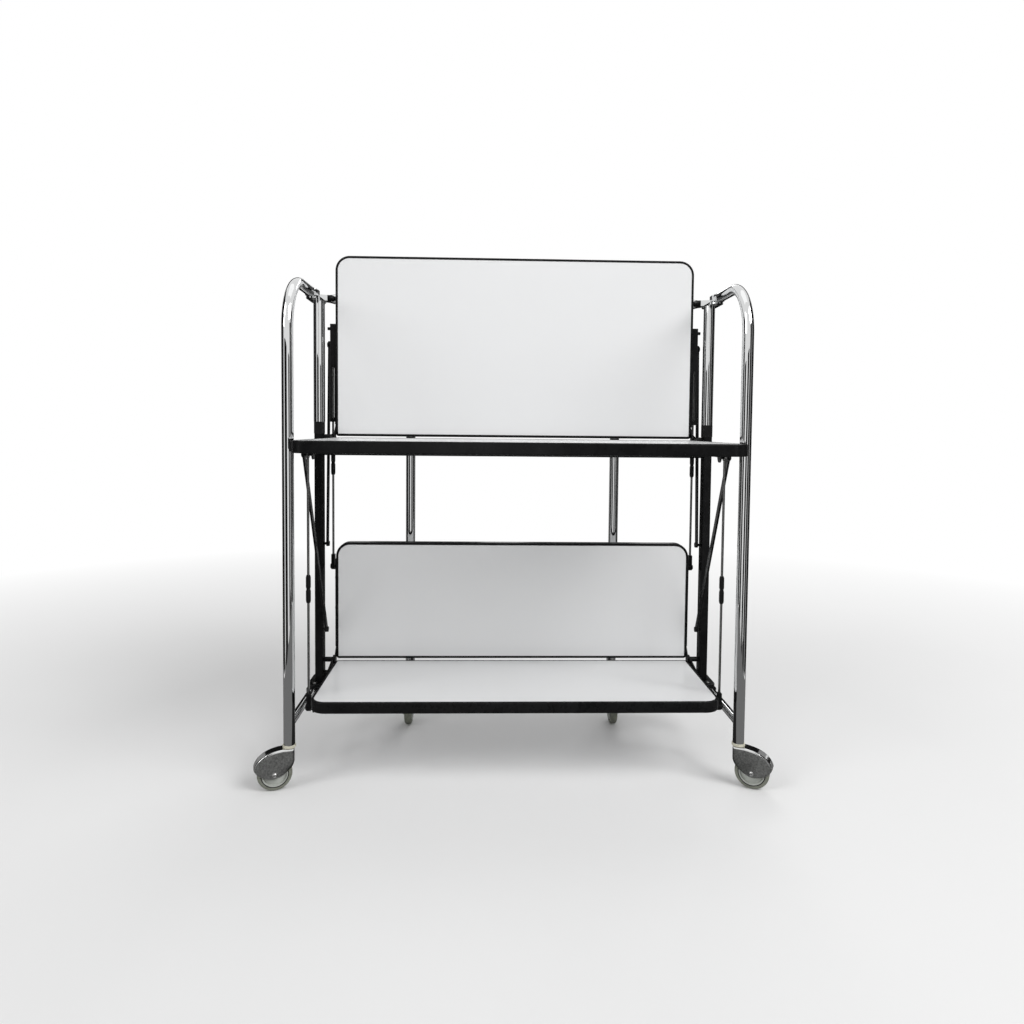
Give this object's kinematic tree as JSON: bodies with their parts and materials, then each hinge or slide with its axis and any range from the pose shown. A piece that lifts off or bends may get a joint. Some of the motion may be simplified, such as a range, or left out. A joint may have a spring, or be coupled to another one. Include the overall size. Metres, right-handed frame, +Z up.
{
  "type": "folding serving trolley",
  "caption": "Folding serving trolley with two levels of hinged leaves, swinging chrome gate legs, strut and link mechanism and hooded castors.",
  "frame": {"origin": "on the floor, at the middle of the overall box, front leaves level and rear leaves upright", "axes": "+X to the right as seen from the front, +Y to the rear, +Z up"},
  "size_m": [0.7348, 0.3752, 0.784],
  "materials": {
    "laminate": "white gloss laminate on chipboard",
    "vinyl": "black vinyl edging",
    "black_enamel": "black stove enamel",
    "black_plastic": "moulded black plastic",
    "zinc": "bright zinc",
    "chrome": "polished chrome",
    "hood_grey": "silver grey hammered enamel",
    "hub_plastic": "pale moulded plastic",
    "tyre_grey": "grey soft tread"
  },
  "bodies": {
    "root": {"post_left": "black_enamel", "post_right": "black_enamel", "post_tube_left": "chrome", "post_tube_right": "chrome", "post_heads": "chrome", "post_feet": "black_enamel", "post_ferrules": "black_plastic", "gate_pins": "zinc", "hinge_pins": "black_enamel", "upper_cross_tube": "black_enamel", "lower_cross_tube": "black_enamel"},
    "upper_front_leaf": {"upper_front_leaf_board": "laminate", "upper_front_leaf_edging": "vinyl", "upper_front_leaf_brackets": "black_enamel"},
    "lower_front_leaf": {"lower_front_leaf_board": "laminate", "lower_front_leaf_edging": "vinyl", "lower_front_leaf_brackets": "black_enamel"},
    "front_left_link": {"front_left_link_rod": "zinc", "front_left_link_fittings": "black_plastic"},
    "front_left_strut": {"front_left_strut": "black_enamel"},
    "front_left_slide": {"front_left_slide_block": "black_plastic"},
    "front_left_gate": {"front_left_gate": "chrome", "front_left_leaf_catch": "black_plastic"},
    "front_left_castor": {"front_left_castor_hood": "hood_grey"},
    "front_left_wheel": {"front_left_wheel_hub": "hub_plastic", "front_left_wheel_tyre": "tyre_grey"},
    "front_right_link": {"front_right_link_rod": "zinc", "front_right_link_fittings": "black_plastic"},
    "front_right_strut": {"front_right_strut": "black_enamel"},
    "front_right_slide": {"front_right_slide_block": "black_plastic"},
    "front_right_gate": {"front_right_gate": "chrome", "front_right_leaf_catch": "black_plastic"},
    "front_right_castor": {"front_right_castor_hood": "hood_grey"},
    "front_right_wheel": {"front_right_wheel_hub": "hub_plastic", "front_right_wheel_tyre": "tyre_grey"},
    "upper_rear_leaf": {"upper_rear_leaf_board": "laminate", "upper_rear_leaf_edging": "vinyl", "upper_rear_leaf_brackets": "black_enamel"},
    "lower_rear_leaf": {"lower_rear_leaf_board": "laminate", "lower_rear_leaf_edging": "vinyl", "lower_rear_leaf_brackets": "black_enamel"},
    "rear_left_link": {"rear_left_link_rod": "zinc", "rear_left_link_fittings": "black_plastic"},
    "rear_left_strut": {"rear_left_strut": "black_enamel"},
    "rear_left_slide": {"rear_left_slide_block": "black_plastic"},
    "rear_left_gate": {"rear_left_gate": "chrome", "rear_left_leaf_catch": "black_plastic"},
    "rear_left_castor": {"rear_left_castor_hood": "hood_grey"},
    "rear_left_wheel": {"rear_left_wheel_hub": "hub_plastic", "rear_left_wheel_tyre": "tyre_grey"},
    "rear_right_link": {"rear_right_link_rod": "zinc", "rear_right_link_fittings": "black_plastic"},
    "rear_right_strut": {"rear_right_strut": "black_enamel"},
    "rear_right_slide": {"rear_right_slide_block": "black_plastic"},
    "rear_right_gate": {"rear_right_gate": "chrome", "rear_right_leaf_catch": "black_plastic"},
    "rear_right_castor": {"rear_right_castor_hood": "hood_grey"},
    "rear_right_wheel": {"rear_right_wheel_hub": "hub_plastic", "rear_right_wheel_tyre": "tyre_grey"}
  },
  "joints": [
    {"name": "upper_front_fold", "type": "hinge", "parent": "root", "child": "upper_front_leaf", "pos_m": [0.00091, 0.1024, 0.494], "axis": [-1, 0, 0], "range_deg": [0, 90]},
    {"name": "lower_front_fold", "type": "hinge", "parent": "root", "child": "lower_front_leaf", "pos_m": [0.00091, 0.1024, 0.129], "axis": [-1, 0, 0], "range_deg": [0, 90]},
    {"name": "upper_rear_fold", "type": "hinge", "parent": "root", "child": "upper_rear_leaf", "pos_m": [0.00091, 0.1024, 0.494], "axis": [-1, 0, 0], "range_deg": [0, 1]},
    {"name": "lower_rear_fold", "type": "hinge", "parent": "root", "child": "lower_rear_leaf", "pos_m": [0.00091, 0.1024, 0.129], "axis": [-1, 0, 0], "range_deg": [0, 1]},
    {"name": "front_left_link_turn", "type": "hinge", "parent": "upper_front_leaf", "child": "front_left_link", "pos_m": [-0.29749, -0.04759, 0.471], "axis": [-1, 0, 0], "range_deg": [-90.01, 0]},
    {"name": "front_left_strut_turn", "type": "hinge", "parent": "upper_front_leaf", "child": "front_left_strut", "pos_m": [-0.30309, -0.04759, 0.471], "axis": [-1, 0, 0], "range_deg": [-66.72, 0]},
    {"name": "front_left_slide_travel", "type": "slide", "parent": "root", "child": "front_left_slide", "axis": [0, 0, 1], "range_m": [0, 0.13935]},
    {"name": "front_left_gate_swing", "type": "hinge", "parent": "root", "child": "front_left_gate", "pos_m": [-0.31909, 0.08191, 0.4], "axis": [0, 0, -1], "range_deg": [0, 3]},
    {"name": "front_left_castor_swivel", "type": "hinge", "parent": "front_left_gate", "child": "front_left_castor", "pos_m": [-0.31909, -0.0721, 0.062], "axis": [0, 0, 1], "continuous": true},
    {"name": "front_left_wheel_roll", "type": "hinge", "parent": "front_left_castor", "child": "front_left_wheel", "pos_m": [-0.33821, -0.07794, 0.024], "axis": [0.2924, -0.9563, 0], "continuous": true},
    {"name": "front_right_link_turn", "type": "hinge", "parent": "upper_front_leaf", "child": "front_right_link", "pos_m": [0.29931, -0.04759, 0.471], "axis": [-1, 0, 0], "range_deg": [-90.01, 0]},
    {"name": "front_right_strut_turn", "type": "hinge", "parent": "upper_front_leaf", "child": "front_right_strut", "pos_m": [0.30491, -0.04759, 0.471], "axis": [-1, 0, 0], "range_deg": [-66.72, 0]},
    {"name": "front_right_slide_travel", "type": "slide", "parent": "root", "child": "front_right_slide", "axis": [0, 0, 1], "range_m": [0, 0.13935]},
    {"name": "front_right_gate_swing", "type": "hinge", "parent": "root", "child": "front_right_gate", "pos_m": [0.32091, 0.08191, 0.4], "axis": [0, 0, 1], "range_deg": [0, 3]},
    {"name": "front_right_castor_swivel", "type": "hinge", "parent": "front_right_gate", "child": "front_right_castor", "pos_m": [0.32091, -0.0721, 0.062], "axis": [0, 0, 1], "continuous": true},
    {"name": "front_right_wheel_roll", "type": "hinge", "parent": "front_right_castor", "child": "front_right_wheel", "pos_m": [0.33873, -0.08117, 0.024], "axis": [0.454, 0.891, 0], "continuous": true},
    {"name": "rear_left_link_turn", "type": "hinge", "parent": "upper_rear_leaf", "child": "rear_left_link", "pos_m": [-0.29749, 0.1254, 0.644], "axis": [-1, 0, 0], "range_deg": [-1.01, 0]},
    {"name": "rear_left_strut_turn", "type": "hinge", "parent": "upper_rear_leaf", "child": "rear_left_strut", "pos_m": [-0.30309, 0.1254, 0.644], "axis": [-1, 0, 0], "range_deg": [-0.58827, 0]},
    {"name": "rear_left_slide_travel", "type": "slide", "parent": "root", "child": "rear_left_slide", "axis": [0, 0, 1], "range_m": [-0.000367, 0]},
    {"name": "rear_left_gate_swing", "type": "hinge", "parent": "root", "child": "rear_left_gate", "pos_m": [-0.31909, 0.12291, 0.4], "axis": [0, 0, 1], "range_deg": [-2, 68.9]},
    {"name": "rear_left_castor_swivel", "type": "hinge", "parent": "rear_left_gate", "child": "rear_left_castor", "pos_m": [-0.17541, 0.17835, 0.062], "axis": [0, 0, 1], "continuous": true},
    {"name": "rear_left_wheel_roll", "type": "hinge", "parent": "rear_left_castor", "child": "rear_left_wheel", "pos_m": [-0.17541, 0.15835, 0.024], "axis": [1, 0, 0], "continuous": true},
    {"name": "rear_right_link_turn", "type": "hinge", "parent": "upper_rear_leaf", "child": "rear_right_link", "pos_m": [0.29931, 0.1254, 0.644], "axis": [-1, 0, 0], "range_deg": [-1.01, 0]},
    {"name": "rear_right_strut_turn", "type": "hinge", "parent": "upper_rear_leaf", "child": "rear_right_strut", "pos_m": [0.30491, 0.1254, 0.644], "axis": [-1, 0, 0], "range_deg": [-0.58827, 0]},
    {"name": "rear_right_slide_travel", "type": "slide", "parent": "root", "child": "rear_right_slide", "axis": [0, 0, 1], "range_m": [-0.000367, 0]},
    {"name": "rear_right_gate_swing", "type": "hinge", "parent": "root", "child": "rear_right_gate", "pos_m": [0.32091, 0.12291, 0.4], "axis": [0, 0, -1], "range_deg": [-2, 68.9]},
    {"name": "rear_right_castor_swivel", "type": "hinge", "parent": "rear_right_gate", "child": "rear_right_castor", "pos_m": [0.17724, 0.17835, 0.062], "axis": [0, 0, 1], "continuous": true},
    {"name": "rear_right_wheel_roll", "type": "hinge", "parent": "rear_right_castor", "child": "rear_right_wheel", "pos_m": [0.17724, 0.15835, 0.024], "axis": [1, 0, 0], "continuous": true}
  ],
  "couplings": [
    {"joint": "lower_front_fold", "follows": "upper_front_fold", "ratio": 1},
    {"joint": "lower_rear_fold", "follows": "upper_rear_fold", "ratio": 1},
    {"joint": "front_left_link_turn", "follows": "upper_front_fold", "ratio": -1},
    {"joint": "front_left_strut_turn", "follows": "upper_front_fold", "ratio": -0.74081},
    {"joint": "front_left_slide_travel", "follows": "upper_front_fold", "m_per_rad": 0.088649},
    {"joint": "front_right_link_turn", "follows": "upper_front_fold", "ratio": -1},
    {"joint": "front_right_strut_turn", "follows": "upper_front_fold", "ratio": -0.74081},
    {"joint": "front_right_slide_travel", "follows": "upper_front_fold", "m_per_rad": 0.088649},
    {"joint": "rear_left_link_turn", "follows": "upper_rear_fold", "ratio": -1},
    {"joint": "rear_left_strut_turn", "follows": "upper_rear_fold", "ratio": -0.53826},
    {"joint": "rear_left_slide_travel", "follows": "upper_rear_fold", "m_per_rad": -0.015278},
    {"joint": "rear_right_link_turn", "follows": "upper_rear_fold", "ratio": -1},
    {"joint": "rear_right_strut_turn", "follows": "upper_rear_fold", "ratio": -0.53826},
    {"joint": "rear_right_slide_travel", "follows": "upper_rear_fold", "m_per_rad": -0.015278}
  ]
}
